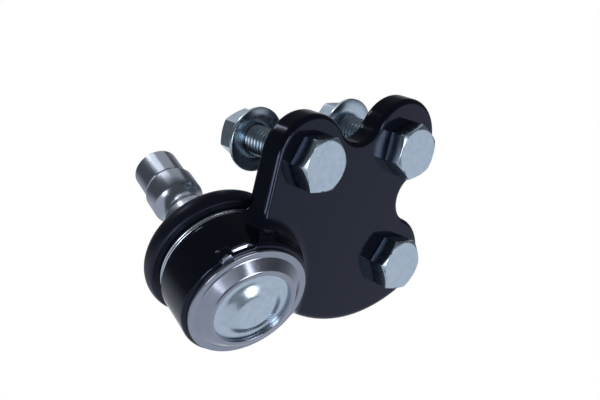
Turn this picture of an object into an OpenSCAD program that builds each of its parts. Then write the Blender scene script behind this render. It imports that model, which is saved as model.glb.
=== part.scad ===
// Suspension ball joint with a bolt-on bracket and a pinch-type stud.
// The origin is the middle of the pinch groove, on the stud's axis. +Z points to the stud's
// free end, and the bracket's plate rises towards +X. All sizes are in millimetres.

/* [Ball stud] */
// Diameter of the ball
ball_d = 27; // [25:0.5:28]
// Depth of the ball's centre below the middle of the pinch groove
ball_drop = 37; // [35:0.5:45]
// Width of the flat on the ball's pole
ball_flat_d = 9; // [4:0.5:11]
// Diameter of the neck between ball and shank
neck_d = 13; // [11:0.5:13.5]
// Diameter of the shank that the knuckle clamps
shank_d = 18; // [17:0.25:20]
// Length of shank from the groove's middle to its lower end
shank_low = 12; // [10:0.5:12.5]
// Diameter of the boot's seat under the shank
neck_seat_d = 17; // [15:0.25:17.5]
// Length of that seat
neck_seat_l = 6; // [5:0.25:6.5]
// Length of shank from the groove's middle to the pilot
shank_high = 12.7; // [8:0.1:20]
// Diameter of the pilot at the free end
pilot_d = 16; // [13:0.25:16.5]
// Length of the pilot
pilot_l = 12.1; // [6:0.1:20]
// Chamfer at the pilot's end and at its step
stud_chamfer = 1; // [0.4:0.1:2]
// Radius of the groove for the pinch bolt
groove_r = 5; // [4:0.25:6.5]
// Depth of the groove
groove_depth = 2; // [1:0.25:3]

/* [Socket] */
// Outside diameter of the pressed-in socket
socket_d = 36; // [35:0.25:38]
// Diameter of the socket's flange
flange_d = 40.8; // [39.5:0.1:41.5]
// Depth of the flange's face below the ball's centre
flange_drop = 12; // [11:0.25:13]
// Thickness of the flange
flange_t = 1.5; // [1:0.1:2.5]
// Diameter at the foot of the cone that is rolled in over the cap
roll_d = 36.8; // [36.2:0.1:38.5]
// Height of the rolled edge over the flange's face
roll_h = 3.3; // [2.5:0.1:3.6]
// Inside diameter of the rolled edge
lip_d = 26.6; // [25:0.1:29]
// Width of the flat on the rolled edge
lip_w = 1.5; // [0.8:0.1:2.5]
// Thickness of the rolled edge over the cap
lip_t = 1.2; // [0.8:0.1:1.6]
// Height of the socket's mouth above the ball's centre
mouth_h = 11.5; // [11:0.1:13]
// Diameter of the mouth
mouth_d = 23; // [22:0.25:25]
// Chamfer at the mouth
mouth_chamfer = 0.8; // [0.3:0.1:1.5]
// Diameter of the seat for the boot's lower lip
boot_seat_d = 34.8; // [33:0.1:35]

/* [Ball seat and cap] */
// Wall of the plastic seat around the ball
seat_wall = 2; // [1.5:0.1:2.4]
// Height of the seat's upper edge above the ball's centre
seat_top = 8.5; // [7:0.1:9]
// Thickness of the cap's sheet
cap_t = 1.6; // [1:0.1:1.7]
// Diameter of the foot of the cap's dome
dome_d = 22.4; // [20:0.1:24]
// Diameter of the flat on the dome
dome_flat_d = 10.5; // [8:0.5:17]
// Height of the dome
dome_h = 2.4; // [2:0.1:3.5]

/* [Bracket] */
// Outside diameter of the barrel
barrel_d = 43.5; // [42.5:0.25:47]
// Length of the barrel
barrel_l = 17.3; // [16:0.1:17.5]
// Rounding of the barrel's ends
barrel_round = 1.3; // [0.5:0.1:2]
// Thickness of the plate
plate_t = 9; // [7:0.25:12]
// Angle between the plate and the stud's square plane
plate_tilt = 20.8; // [10:0.2:25]
// Depth below the ball's centre where the plate's lower face meets the stud axis
plate_drop = 9.9; // [8:0.1:11]
// Rounding of the plate's edges
edge_r = 2; // [1:0.25:3]
// Radius of the lobe round each bolt
lobe_r = 15; // [13:0.25:17]
// First bolt, along the rising side of the plate
bolt_u = 48; // [44:0.5:54]
// First bolt, across the plate
bolt_v = 1; // [-3:0.5:5]
// Distance from the first bolt to the second
leg_1 = 43; // [40:0.5:46]
// Distance from the second bolt to the third, at a right angle
leg_2 = 40.5; // [38:0.5:44]
// Direction of the first leg in the plate
leg_angle = 63; // [58:0.5:68]
// How far the second lobe's middle lies beyond its bolt
lobe_shift = 2; // [0:0.25:2.5]
// Radius of the hollow between the first two lobes
hollow_1_r = 10; // [9.5:0.25:13]
// Radius of the hollow between the last two lobes
hollow_2_r = 8; // [7.5:0.25:11]
// Middle of the long outer curve, along and across the plate
curve_u = 57; // [55:0.5:60]
// Middle of the long outer curve, across the plate
curve_v = 26; // [22:0.5:30]
// Width of the sloped foot where the barrel meets the plate
foot_w = 5; // [4:0.25:6]
// Room that is cut into the plate round the boot
boot_room = 1; // [0.6:0.05:1.2]

/* [Fasteners] */
// Thread diameter of the bolts
bolt_d = 10; // [8:1:10]
// Length of the bolts under the head
bolt_l = 40; // [38:1:44]
// Plain shank between the plate and the first turn of thread
shank_over = 0.5; // [0.2:0.1:3]
// Pitch of the thread
thread_pitch = 1.5; // [1:0.25:2]
// Depth of the thread
thread_depth = 0.9; // [0.6:0.05:1]
// Width of the bolt's head across its flats
head_af = 17; // [15:0.5:19]
// Height of the bolt's head
head_h = 6.4; // [5:0.1:8]
// Width of the nut across its flats
nut_af = 15; // [14:0.5:16]
// Height of the nut with its flange
nut_h = 10; // [8:0.25:10.5]
// Diameter of the nut's flange
nut_flange_d = 22; // [20:0.25:24]
// Thickness of the flange's rim
nut_rim_t = 1.4; // [1:0.1:2]
// Room between the plate and the nuts for the control arm
arm_gap = 18; // [12:0.5:18.5]

/* [Dust boot] */
// Radius of the circle that the boot's bulge follows
bulge_ring_r = 17.7; // [17.5:0.1:19]
// Height of that circle above the ball's centre
bulge_h = 13.3; // [13:0.1:14]
// Radius of the bulge
bulge_r = 6.2; // [6:0.1:7]
// Thickness of the rubber
boot_wall = 1.8; // [1.4:0.1:2.2]
// Height of the lower lip above the ball's centre
boot_lip_h = 10.2; // [9.8:0.1:10.8]
// Thickness of the lower lip
boot_lip_t = 2; // [1.6:0.1:2.4]
// Height of the upper lip
neck_lip_h = 4; // [3.5:0.1:5]
// Thickness of the upper lip
neck_lip_t = 2; // [1.6:0.1:2.6]
// Wire diameter of the two-turn ring on the lower lip
wire_d = 1; // [0.8:0.05:1.2]
// Wire diameter of the ring on the upper lip
neck_wire_d = 1.4; // [1:0.1:1.8]

/* [Clearances] */
// Play between the ball and its seat
ball_clear = 0.05; // [0.02:0.01:0.1]
// Play between pieces that are pressed together
press_clear = 0.02; // [0:0.01:0.05]
// Play between the boot's lips and what they sit on
boot_clear = 0.25; // [0.1:0.05:0.4]
// Play of a bolt in its hole, on the diameter
hole_clear = 0.5; // [0.3:0.1:1]
// Play between nut and bolt, on the radius
thread_clear = 0.1; // [0.05:0.05:0.15]

/* [Hidden] */
$fn = 96;

ball_r = ball_d / 2;
shank_r = shank_d / 2;
pilot_r = pilot_d / 2;
neck_r = neck_d / 2;
seat_r = ball_r + ball_clear + seat_wall;
// The boot's seat is never wider than the socket
boot_seat_r = min(boot_seat_d, socket_d - 2 * boot_clear) / 2;
barrel_r = barrel_d / 2;

// Heights on the stud axis
ball_z = -ball_drop;
tip_z = shank_high + pilot_l;
flange_z = ball_z - flange_drop;
barrel_z = flange_z + flange_t;
crest_z = flange_z - roll_h;
cap_low_z = crest_z + lip_t;
cap_high_z = cap_low_z + cap_t;
mouth_z = ball_z + mouth_h;
barrel_end_z = barrel_z + barrel_l;
plate_z = ball_z - plate_drop;

// Boot heights
bulge_z = ball_z + bulge_h;
lip_z = ball_z + boot_lip_h;
lip_low_z = barrel_end_z + boot_clear;
lip_in_r = boot_seat_r + boot_clear;
lip_out_r = lip_in_r + boot_lip_t;
wire_z = (lip_low_z + lip_z) / 2;
neck_in_r = neck_seat_d / 2 + boot_clear / 2;
neck_out_r = neck_in_r + neck_lip_t;
neck_low_z = bulge_z + bulge_r - boot_wall;

// Bolt places in the plate
bolt_at = [
    [bolt_u, bolt_v],
    [bolt_u + leg_1 * cos(leg_angle), bolt_v + leg_1 * sin(leg_angle)],
    [bolt_u + leg_1 * cos(leg_angle) - leg_2 * sin(leg_angle),
     bolt_v + leg_1 * sin(leg_angle) + leg_2 * cos(leg_angle)]
];
// Middles of the lobes: the second one lies beyond its bolt, away from the third
lobe_at = [
    bolt_at[0],
    bolt_at[1] + lobe_shift * [sin(leg_angle), -cos(leg_angle)],
    bolt_at[2]
];
// How far each head and nut is turned
head_turn = [4, 44, 10];
nut_turn = [41, 5, 25];
// Slope of the hex chamfers
hex_chamfer_angle = 30;
// Reach of cuts past the faces they open
cut = 1;
eps = 0.01;
// How far neighbouring rounded edges of the plate run into each other
run_in = 0.2;

// Slope height of a cone that narrows by w at the chamfer angle
function chamfer_h(w) = w * tan(hex_chamfer_angle);
function hex_corner_r(af) = af / 2 / cos(30);
// Middle of the hollow of radius r between two lobes, on the plate's outer side
function hollow_at(a, b, r) =
    let (d = b - a, l = norm(d), side = [d.y, -d.x] / l)
    (a + b) / 2 + side * sqrt(pow(lobe_r + r - run_in, 2) - l * l / 4);
// Radius of a hollow between two lobes: r, or more where they lie too far apart for it
function hollow_fit_r(a, b, r) = max(r, norm(b - a) / 2 - lobe_r + edge_r / 2);
// Point on the lobe at a that lies towards p
function lobe_point(a, p) = a + (p - a) * lobe_r / norm(p - a);
// Smooth S from 0 to 1 for the cap's pressed dome
function ease(t) = (1 - cos(180 * t)) / 2;

// The hollows reach both lobes, however far apart these are
hollow_1_fit_r = hollow_fit_r(lobe_at[0], lobe_at[1], hollow_1_r);
hollow_2_fit_r = hollow_fit_r(lobe_at[1], lobe_at[2], hollow_2_r);
hollow_1 = hollow_at(lobe_at[0], lobe_at[1], hollow_1_fit_r);
hollow_2 = hollow_at(lobe_at[1], lobe_at[2], hollow_2_fit_r);
// The straight edge runs from the barrel's axis and touches the first lobe
edge_dir = atan2(bolt_v, bolt_u) - asin(lobe_r / norm(bolt_at[0]));
edge_l = sqrt(pow(norm(bolt_at[0]), 2) - lobe_r * lobe_r);
// The long outer curve touches the third lobe from outside
curve_at = [curve_u, curve_v];
curve_r = norm(bolt_at[2] - curve_at) + lobe_r - run_in;
curve_end = bolt_at[2] + (bolt_at[2] - curve_at) * lobe_r / norm(bolt_at[2] - curve_at);

module in_plate() {
    translate([0, 0, plate_z]) rotate([0, -plate_tilt, 0]) children();
}

// The plate's section from x = 0 to a rounded edge at x = w
module edge_profile(w) {
    square([w - edge_r, plate_t]);
    translate([0, edge_r]) square([w, plate_t - 2 * edge_r]);
    translate([w - edge_r, edge_r]) circle(edge_r);
    translate([w - edge_r, plate_t - edge_r]) circle(edge_r);
}

// A disc of the plate with rounded edges
module plate_disc(r) {
    rotate_extrude($fn = 180) edge_profile(r);
}

// What rounds the plate's section off below x = 0
module edge_cutter_profile() {
    difference() {
        translate([-cut, -cut]) square([cut + edge_r, plate_t + 2 * cut]);
        translate([edge_r, edge_r - run_in]) circle(edge_r);
        translate([edge_r, plate_t - edge_r + run_in]) circle(edge_r);
        translate([0, edge_r - run_in]) square([2 * edge_r, plate_t - 2 * (edge_r - run_in)]);
    }
}

// What a hollow takes out of the plate: a cylinder that flares to both faces
module hollow_cutter(at, r) {
    translate([at.x, at.y, 0]) rotate_extrude() {
        translate([r, 0]) edge_cutter_profile();
        translate([0, -cut]) square([r - cut / 2, plate_t + 2 * cut]);
    }
}

// The flat area that joins the lobes and the barrel, with its straight edge moved in by inset
module web_outline(inset) {
    edge_in = inset * [-sin(edge_dir), cos(edge_dir)];
    edge_end = edge_l * [cos(edge_dir), sin(edge_dir)];
    polygon([
        edge_in,
        edge_end + edge_in,
        lobe_point(lobe_at[0], hollow_1),
        lobe_point(lobe_at[1], hollow_1),
        lobe_point(lobe_at[1], hollow_2),
        lobe_point(lobe_at[2], hollow_2),
        curve_end,
        [curve_u - curve_r - cut, curve_end.y],
        [curve_u - curve_r - cut, edge_in.y]
    ]);
}

module web() {
    difference() {
        intersection() {
            translate(curve_at) plate_disc(curve_r);
            translate([0, 0, -cut]) linear_extrude(plate_t + 2 * cut) web_outline(-cut / 2);
        }
        rotate([0, 0, edge_dir]) rotate([90, 0, 90]) linear_extrude(edge_l + lobe_r)
            translate([run_in, 0]) edge_cutter_profile();
    }
}

module plate() {
    difference() {
        union() {
            for (p = lobe_at) translate(p) plate_disc(lobe_r);
            web();
        }
        hollow_cutter(hollow_1, hollow_1_fit_r);
        hollow_cutter(hollow_2, hollow_2_fit_r);
    }
}

// Sloped foot between the barrel and one face of the plate, sunk a little into that face
module foot() {
    sink = 0.4;
    intersection() {
        translate([0, 0, -sink])
            cylinder(h = foot_w + sink, r1 = barrel_r + foot_w + sink, r2 = barrel_r, $fn = 180);
        translate([0, 0, -cut]) linear_extrude(foot_w + 2 * cut) intersection() {
            web_outline(2 * edge_r);
            translate(curve_at) circle(curve_r - 0.6 * edge_r, $fn = 180);
        }
    }
}

module barrel() {
    rotate_extrude($fn = 180) {
        translate([0, barrel_z]) square([barrel_r - barrel_round, barrel_l]);
        translate([0, barrel_z + barrel_round]) square([barrel_r, barrel_l - 2 * barrel_round]);
        translate([barrel_r - barrel_round, barrel_z + barrel_round]) circle(barrel_round);
        translate([barrel_r - barrel_round, barrel_end_z - barrel_round]) circle(barrel_round);
    }
}

// Room for the boot, sunk a little below the barrel's end
module boot_space() {
    sink = 0.3;
    translate([0, 0, barrel_end_z - sink])
        cylinder(h = tip_z - barrel_end_z, r = bulge_ring_r + bulge_r + boot_room, $fn = 180);
}

// Forged plate and barrel, painted black
module bracket() {
    color("#23262f") difference() {
        union() {
            barrel();
            difference() {
                in_plate() plate();
                boot_space();
            }
            difference() {
                in_plate() translate([0, 0, plate_t]) foot();
                boot_space();
            }
            in_plate() mirror([0, 0, 1]) foot();
        }
        translate([0, 0, crest_z - foot_w])
            cylinder(h = tip_z - crest_z + foot_w, d = socket_d + 2 * press_clear, $fn = 180);
        in_plate() for (p = bolt_at)
            translate([p.x, p.y, -cut]) cylinder(h = plate_t + 2 * cut, d = bolt_d + hole_clear);
    }
}

// Turned steel socket: flange, rolled edge over the cap, open mouth and a seat for the boot
module socket_housing() {
    seat_bore_r = seat_r + press_clear;
    crest_r = lip_d / 2 + lip_w;
    color("#8d8f9d") rotate_extrude($fn = 180) difference() {
        union() {
            translate([0, flange_z]) square([socket_d / 2, mouth_z - flange_z]);
            translate([0, flange_z]) square([flange_d / 2, flange_t]);
            translate([0, crest_z])
                polygon([[0, 0], [crest_r, 0], [roll_d / 2, roll_h], [0, roll_h]]);
        }
        // Boot seat
        translate([boot_seat_r, barrel_end_z]) square([socket_d, lip_z - barrel_end_z + boot_clear]);
        // Pocket of the cap and bore of the seat
        translate([0, cap_low_z]) square([seat_bore_r, ball_z - cap_low_z]);
        intersection() {
            translate([0, ball_z]) circle(seat_bore_r);
            translate([0, ball_z - eps]) square([seat_bore_r, mouth_h]);
        }
        // Rolled edge and mouth
        translate([0, crest_z - cut]) square([lip_d / 2, cap_low_z - crest_z + 2 * cut]);
        translate([0, ball_z]) square([mouth_d / 2, mouth_h + cut]);
        translate([mouth_d / 2, mouth_z])
            polygon([[-cut, -mouth_chamfer - cut], [-cut, cut], [mouth_chamfer + cut, cut]]);
    }
}

// Plastic liner that holds the ball above and below its middle
module ball_seat() {
    color("#e9e6da") rotate_extrude($fn = 180) difference() {
        union() {
            translate([0, cap_high_z]) square([seat_r, ball_z - cap_high_z]);
            intersection() {
                translate([0, ball_z]) circle(seat_r);
                translate([0, ball_z - eps]) square([seat_r, seat_top + eps]);
            }
        }
        translate([0, ball_z]) circle(ball_r + ball_clear);
    }
}

// Pressed sheet cap with a raised dome
module end_cap() {
    steps = 10;
    flat_r = dome_flat_d / 2;
    foot_r = dome_d / 2;
    outer = [for (i = [0:steps]) let (t = i / steps)
        [foot_r + (flat_r - foot_r) * t, cap_low_z - dome_h * ease(t)]];
    inner = [for (i = [steps:-1:0]) let (t = i / steps)
        [foot_r + (flat_r - foot_r) * t - cap_t / 2, cap_high_z - dome_h * ease(t)]];
    color("#a9bac8") rotate_extrude($fn = 180) polygon(concat(
        [[seat_r, cap_high_z], [seat_r, cap_low_z]],
        outer,
        [[0, cap_low_z - dome_h], [0, cap_high_z - dome_h]],
        inner));
}

// Ball, neck, shank with the pinch groove, and pilot, turned from one bar
module ball_stud() {
    flat_h = sqrt(ball_r * ball_r - ball_flat_d * ball_flat_d / 4);
    low_r = neck_seat_d / 2;
    flare = low_r - neck_r;
    shoulder_z = -shank_low - neck_seat_l;
    color("#7c8592") rotate_extrude($fn = 180) difference() {
        union() {
            intersection() {
                translate([0, ball_z]) circle(ball_r);
                translate([0, ball_z - flat_h]) square([ball_r, ball_d]);
            }
            translate([0, ball_z]) square([neck_r, ball_drop]);
            translate([0, shoulder_z])
                polygon([[0, -flare], [neck_r, -flare], [low_r, 0], [0, 0]]);
            translate([0, shoulder_z]) square([low_r, neck_seat_l + cut]);
            translate([0, -shank_low]) square([shank_r, shank_low + shank_high - stud_chamfer]);
            translate([0, shank_high - stud_chamfer])
                polygon([[0, 0], [shank_r, 0], [pilot_r, stud_chamfer], [0, stud_chamfer]]);
            translate([0, shank_high]) square([pilot_r, pilot_l - stud_chamfer]);
            translate([0, tip_z - stud_chamfer])
                polygon([[0, 0], [pilot_r, 0], [pilot_r - stud_chamfer, stud_chamfer], [0, stud_chamfer]]);
        }
        translate([shank_r - groove_depth + groove_r, 0]) circle(groove_r);
    }
}

// Hollow rubber boot: lower lip on the socket, bulge, and upper lip on the shank
module dust_boot() {
    floor_in_r = socket_d / 2 + boot_clear;
    color("#23252f") rotate_extrude($fn = 180) {
        // Lower lip
        translate([lip_in_r, lip_low_z]) square([boot_lip_t, lip_z - lip_low_z]);
        // Floor of the bulge, its round wall and its roof
        difference() {
            intersection() {
                union() {
                    translate([bulge_ring_r, bulge_z]) circle(bulge_r);
                    translate([neck_in_r, bulge_z]) square([bulge_ring_r - neck_in_r, bulge_r]);
                }
                translate([neck_in_r, lip_z]) square([bulge_ring_r + bulge_r, 4 * bulge_r]);
            }
            intersection() {
                translate([bulge_ring_r, bulge_z]) circle(bulge_r - boot_wall);
                translate([0, lip_z + boot_wall / 2]) square([bulge_ring_r + bulge_r, 4 * bulge_r]);
            }
            translate([0, lip_z - cut]) square([floor_in_r, bulge_z + bulge_r - boot_wall - lip_z + cut]);
        }
        // Upper lip
        translate([neck_in_r, neck_low_z]) square([neck_lip_t, neck_lip_h]);
    }
}

// Two turns of spring wire round the boot's lower lip
module boot_clamp_ring() {
    // The turns lie against each other, pressed a little flat
    turn_pitch = 0.95 * wire_d;
    color("#b9c2cc") for (s = [-1, 1])
        rotate_extrude($fn = 180) translate([lip_out_r + wire_d / 2, wire_z + s * turn_pitch / 2])
            circle(wire_d / 2, $fn = 32);
}

// Spring wire ring round the boot's upper lip
module boot_neck_ring() {
    color("#b9c2cc") rotate_extrude($fn = 180)
        translate([neck_out_r + boot_clear / 2 + neck_wire_d / 2, neck_low_z + neck_lip_h - neck_wire_d])
            circle(neck_wire_d / 2, $fn = 32);
}

// A six-sided prism whose upper corners are taken off by a cone
module chamfered_hex(af, h) {
    corner = hex_corner_r(af);
    intersection() {
        cylinder(h = h, r = corner, $fn = 6);
        translate([0, 0, h - 10 * chamfer_h(corner)])
            cylinder(h = 10 * chamfer_h(corner), r1 = af / 2 + 10 * corner - 0.3, r2 = af / 2 - 0.3);
    }
}

// Hex bolt: plain shank in the plate, then thread drawn as one ring for each turn
module hex_bolt(i) {
    thread_r = bolt_d / 2;
    root_r = thread_r - thread_depth;
    end_chamfer = bolt_d / 10;
    grip_l = plate_t + shank_over;
    crest = thread_pitch / 8;
    flank = (thread_pitch - crest) / 2;
    turns = floor((bolt_l - end_chamfer - grip_l) / thread_pitch);
    thread = [for (k = [0:turns - 1]) let (z = grip_l + k * thread_pitch)
        each [[thread_r, z], [root_r, z + flank], [thread_r, z + 2 * flank]]];
    color("#a9bac8") in_plate() translate([bolt_at[i].x, bolt_at[i].y, 0]) {
        rotate([0, 0, head_turn[i]]) mirror([0, 0, 1]) chamfered_hex(head_af, head_h);
        rotate_extrude() polygon(concat(
            [[0, 0], [thread_r, 0]],
            thread,
            [[thread_r, bolt_l - end_chamfer], [thread_r - end_chamfer, bolt_l], [0, bolt_l]]));
    }
}

module flange_nut(i) {
    bore_r = bolt_d / 2 + thread_clear;
    slope_h = (nut_flange_d - nut_af) / 2 * tan(hex_chamfer_angle);
    color("#a9bac8") in_plate() translate([bolt_at[i].x, bolt_at[i].y, plate_t + arm_gap]) difference() {
        union() {
            rotate([0, 0, nut_turn[i]]) chamfered_hex(nut_af, nut_h);
            cylinder(h = nut_rim_t, d = nut_flange_d);
            translate([0, 0, nut_rim_t]) cylinder(h = slope_h, d1 = nut_flange_d - 0.4, d2 = nut_af);
        }
        translate([0, 0, -cut]) cylinder(h = nut_h + 2 * cut, r = bore_r);
        // Countersinks at both ends of the thread
        translate([0, 0, -eps]) cylinder(h = cut, r1 = bore_r + cut, r2 = bore_r);
        translate([0, 0, nut_h - cut + eps]) cylinder(h = cut, r1 = bore_r, r2 = bore_r + cut);
    }
}

module bolt_1() { hex_bolt(0); }
module bolt_2() { hex_bolt(1); }
module bolt_3() { hex_bolt(2); }
module nut_1() { flange_nut(0); }
module nut_2() { flange_nut(1); }
module nut_3() { flange_nut(2); }

bracket();
socket_housing();
ball_seat();
end_cap();
ball_stud();
dust_boot();
boot_clamp_ring();
boot_neck_ring();
bolt_1();
bolt_2();
bolt_3();
nut_1();
nut_2();
nut_3();
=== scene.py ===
import math

import bmesh
import bpy
import numpy as np
from mathutils import Matrix, Vector


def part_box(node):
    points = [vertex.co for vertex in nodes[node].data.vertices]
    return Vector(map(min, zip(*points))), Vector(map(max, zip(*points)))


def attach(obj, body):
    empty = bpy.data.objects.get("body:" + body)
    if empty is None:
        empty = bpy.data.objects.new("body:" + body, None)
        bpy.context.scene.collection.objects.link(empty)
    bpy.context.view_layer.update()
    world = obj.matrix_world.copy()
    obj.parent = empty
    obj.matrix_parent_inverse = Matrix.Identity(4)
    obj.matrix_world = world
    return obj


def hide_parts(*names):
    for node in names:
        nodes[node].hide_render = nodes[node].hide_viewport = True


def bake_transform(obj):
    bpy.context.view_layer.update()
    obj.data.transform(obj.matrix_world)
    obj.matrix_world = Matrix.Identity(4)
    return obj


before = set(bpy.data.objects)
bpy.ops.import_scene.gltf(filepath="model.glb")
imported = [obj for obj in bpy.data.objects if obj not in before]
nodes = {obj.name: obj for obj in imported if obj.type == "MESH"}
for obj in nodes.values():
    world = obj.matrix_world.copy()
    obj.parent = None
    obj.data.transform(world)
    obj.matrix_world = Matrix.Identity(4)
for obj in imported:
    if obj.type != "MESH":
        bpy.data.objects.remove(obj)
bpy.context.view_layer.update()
mm = 0.001
print("stage: frame loaded")

# Shared places, in millimetres in the part's own frame
ballZ = -37.0
ballRadius = 13.5
plateZ = -46.9
plateTilt = math.radians(20.8)
plateThick = 9.0
firstLeg, secondLeg = 43.0, 40.5  # bolt 1 to bolt 2, then square to that line to bolt 3
legAngle = math.radians(63)
legX, legY = math.cos(legAngle), math.sin(legAngle)
boltAt = [(48.0, 1.0)]
boltAt.append((boltAt[0][0] + firstLeg * legX, boltAt[0][1] + firstLeg * legY))
boltAt.append((boltAt[1][0] - secondLeg * legY, boltAt[1][1] + secondLeg * legX))
headTurn = [4, 44, 10]  # degrees, as the photo shows each head and each nut
nutTurn = [41, 5, 25]
plateFrame = Matrix.Translation((0, 0, plateZ)) @ Matrix.Rotation(-plateTilt, 4, "Y")


# Colours are written as sRGB hex and turned into linear values here
def linear(code):
    out = []
    for i in (1, 3, 5):
        c = int(code[i:i + 2], 16) / 255
        out.append(c / 12.92 if c <= 0.04045 else ((c + 0.055) / 1.055) ** 2.4)
    return (*out, 1.0)


# One node with its settings and links: a link is (input name or number, from node, output name or number)
def add(tree, kind, settings=None, values=None, links=()):
    node = tree.nodes.new(kind)
    for name, value in (settings or {}).items():
        setattr(node, name, value)
    for name, value in (values or {}).items():
        node.inputs[name].default_value = value
    for socket, source, output in links:
        tree.links.new(source.outputs[output], node.inputs[socket])
    return node


# An empty material with its shader, its output and the coordinates for its patterns
def startMaterial(name):
    material = bpy.data.materials.new(name)
    material.use_nodes = True
    tree = material.node_tree
    tree.nodes.clear()
    shader = add(tree, "ShaderNodeBsdfPrincipled")
    add(tree, "ShaderNodeOutputMaterial", links=[("Surface", shader, "BSDF")])
    place = add(tree, "ShaderNodeTexCoord")
    return material, tree, shader, place


# A lathe mesh from (radius, height) points in millimetres; an open profile starts and ends on the axis
def lathe(name, profile, segments=192, closed=True):
    pts = np.array(profile, float)
    n = len(pts)
    ang = np.linspace(0, 2 * math.pi, segments, endpoint=False)
    verts, index = [], []
    for r, z in pts:
        if r < 1e-6:
            index.append([len(verts)])
            verts.append((0, 0, z * mm))
        else:
            index.append(list(range(len(verts), len(verts) + segments)))
            verts += [(r * math.cos(a) * mm, r * math.sin(a) * mm, z * mm) for a in ang]
    faces = []
    for i in range(n if closed else n - 1):
        a, b = index[i], index[(i + 1) % n]
        if len(a) == 1 and len(b) == 1:
            continue
        for k in range(segments):
            k2 = (k + 1) % segments
            if len(a) == 1:
                faces.append((a[0], b[k2], b[k]))
            elif len(b) == 1:
                faces.append((a[k], a[k2], b[0]))
            else:
                faces.append((a[k], a[k2], b[k2], b[k]))
    return meshObject(name, verts, faces)


# A smooth shaded object with its faces turned outward, from verts in metres
def meshObject(name, verts, faces):
    mesh = bpy.data.meshes.new(name)
    mesh.from_pydata(verts, [], faces)
    mesh.validate()
    bm = bmesh.new()
    bm.from_mesh(mesh)
    bmesh.ops.recalc_face_normals(bm, faces=bm.faces)
    bm.to_mesh(mesh)
    bm.free()
    mesh.shade_smooth()
    piece = bpy.data.objects.new(name, mesh)
    bpy.context.collection.objects.link(piece)
    return piece


# Rounds the corners of an open profile: each point is (r, z) or (r, z, corner radius)
def rounded(points, steps):
    out = []
    last = len(points) - 1
    for i, p in enumerate(points):
        here = np.array(p[:2], float)
        radius = p[2] if len(p) > 2 else 0
        if radius <= 0 or i in (0, last):
            out.append(tuple(here))
            continue
        before = np.array(points[i - 1][:2], float) - here
        after = np.array(points[i + 1][:2], float) - here
        la, lb = np.linalg.norm(before), np.linalg.norm(after)
        before, after = before / la, after / lb
        half = math.acos(max(-1, min(1, float(before @ after)))) / 2
        reach = min(radius / math.tan(half), 0.49 * la, 0.49 * lb)
        radius = reach * math.tan(half)
        middle = here + (before + after) / np.linalg.norm(before + after) * radius / math.sin(half)
        start, end = here + before * reach - middle, here + after * reach - middle
        a0, a1 = math.atan2(start[1], start[0]), math.atan2(end[1], end[0])
        turn = (a1 - a0 + math.pi) % (2 * math.pi) - math.pi
        for k in range(steps + 1):
            a = a0 + turn * k / steps
            out.append((middle[0] + radius * math.cos(a), middle[1] + radius * math.sin(a)))
    return out


print("stage: helpers ready")

# Bracket: a forging, so its form is a distance field whose pieces flow into each other
bracketLook = {
    "lobeRadius": 15.0,
    "lobeShift": 2.0,
    "hollowRadius": (10.0, 8.0),
    "curveMiddle": (57.0, 26.0),
    "curveEnd": 207.0,
    "edgeRound": 1.7,
    "barrelRadius": 21.75,
    "barrelLow": -47.5,
    "barrelHigh": -30.2,
    "barrelRound": 1.3,
    "fillet": 5.0,
    "boreRadius": 18.02,
    "boreSoft": 0.4,
    "bootSpace": 24.9,
    "bootSoft": 0.8,
    "holeRadius": 5.25,
    "holeSoft": 0.5,
    "lug": {"turn": -61.5, "wide": 3.8, "low": -47.5, "high": -43.6, "proud": 0.45, "deep": 2.0,
            "round": 0.5, "soft": 0.4},
    "bead": {"from": -55.0, "to": -39.0, "at": -45.6, "radius": 0.9, "proud": 0.4, "soft": 0.4},
    "rimCut": {"from": -56.0, "to": -37.0, "above": -46.2, "deep": 0.7, "soft": 0.3},
    "arcStep": 0.5,
    "step": 0.5,
    "margin": 1.0,
}


def arcPoints(middle, radius, fromAngle, toAngle, clockwise=False):
    turn = (toAngle - fromAngle) % (2 * math.pi)
    if clockwise:
        turn -= 2 * math.pi
    count = max(6, int(abs(turn) * radius / bracketLook["arcStep"]))
    angles = fromAngle + turn * np.arange(count + 1) / count
    return np.stack([middle[0] + radius * np.cos(angles), middle[1] + radius * np.sin(angles)], 1)


def angleTo(a, b):
    return math.atan2(b[1] - a[1], b[0] - a[0])


# Three lobes with a hollow between each two, and one long curve back to the barrel
def plateOutline(look):
    radius = look["lobeRadius"]
    lobes = [np.array(p) for p in boltAt]
    lobes[1] = lobes[1] + look["lobeShift"] * np.array([legY, -legX])
    hollows = []
    for i, r in enumerate(look["hollowRadius"]):
        d = lobes[i + 1] - lobes[i]
        length = np.linalg.norm(d)
        side = np.array([d[1], -d[0]]) / length
        gap = math.sqrt((radius + r) ** 2 - length ** 2 / 4)
        hollows.append((lobes[i] + lobes[i + 1]) / 2 + side * gap)
    away = np.linalg.norm(lobes[0])
    edge = math.atan2(lobes[0][1], lobes[0][0]) - math.asin(radius / away)
    middle = np.array(look["curveMiddle"])
    big = np.linalg.norm(lobes[2] - middle) + radius
    toward = angleTo(middle, lobes[2])
    return np.concatenate([
        [[0.0, 0.0]],
        arcPoints(lobes[0], radius, edge - math.pi / 2, angleTo(lobes[0], hollows[0])),
        arcPoints(hollows[0], look["hollowRadius"][0], angleTo(hollows[0], lobes[0]),
                  angleTo(hollows[0], lobes[1]), clockwise=True),
        arcPoints(lobes[1], radius, angleTo(lobes[1], hollows[0]), angleTo(lobes[1], hollows[1])),
        arcPoints(hollows[1], look["hollowRadius"][1], angleTo(hollows[1], lobes[1]),
                  angleTo(hollows[1], lobes[2]), clockwise=True),
        arcPoints(lobes[2], radius, angleTo(lobes[2], hollows[1]), toward),
        arcPoints(middle, big, toward, math.radians(look["curveEnd"])),
    ])


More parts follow.
